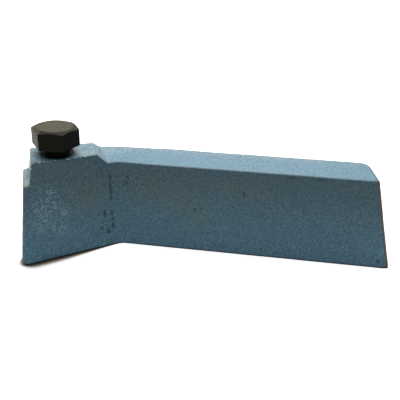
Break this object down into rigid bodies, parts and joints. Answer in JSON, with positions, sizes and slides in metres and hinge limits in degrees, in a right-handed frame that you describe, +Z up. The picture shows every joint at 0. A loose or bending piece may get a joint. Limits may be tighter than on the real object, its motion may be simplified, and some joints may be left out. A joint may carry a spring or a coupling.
{
  "type": "turning tool holder",
  "caption": "Offset lathe turning tool holder: a forged rectangular shank bends into a raised head with an inclined square slot for a tool bit under a hexagon-head clamp screw.",
  "frame": {"origin": "on the underside of the shank, at its mid-width, in line with the inner corner where the head turns off the shank", "axes": "+X runs along the shank to its butt end, the head turns off towards -X and -Y, +Z is up through the clamp screw's side"},
  "size_m": [0.1518, 0.0414, 0.054],
  "materials": {
    "painted_forging": "blue-grey paint on a drop-forged surface, worn along its edges",
    "black_screw": "black oxide, worn brown on the head's top"
  },
  "bodies": {
    "holder": {"holder_body": "painted_forging"},
    "screw": {"clamp_screw": "black_screw"}
  },
  "joints": [
    {"name": "screw_travel", "type": "slide", "parent": "holder", "child": "screw", "axis": [0.0423, 0.0308, 0.9986], "range_m": [-0.0031, 0.015]}
  ]
}
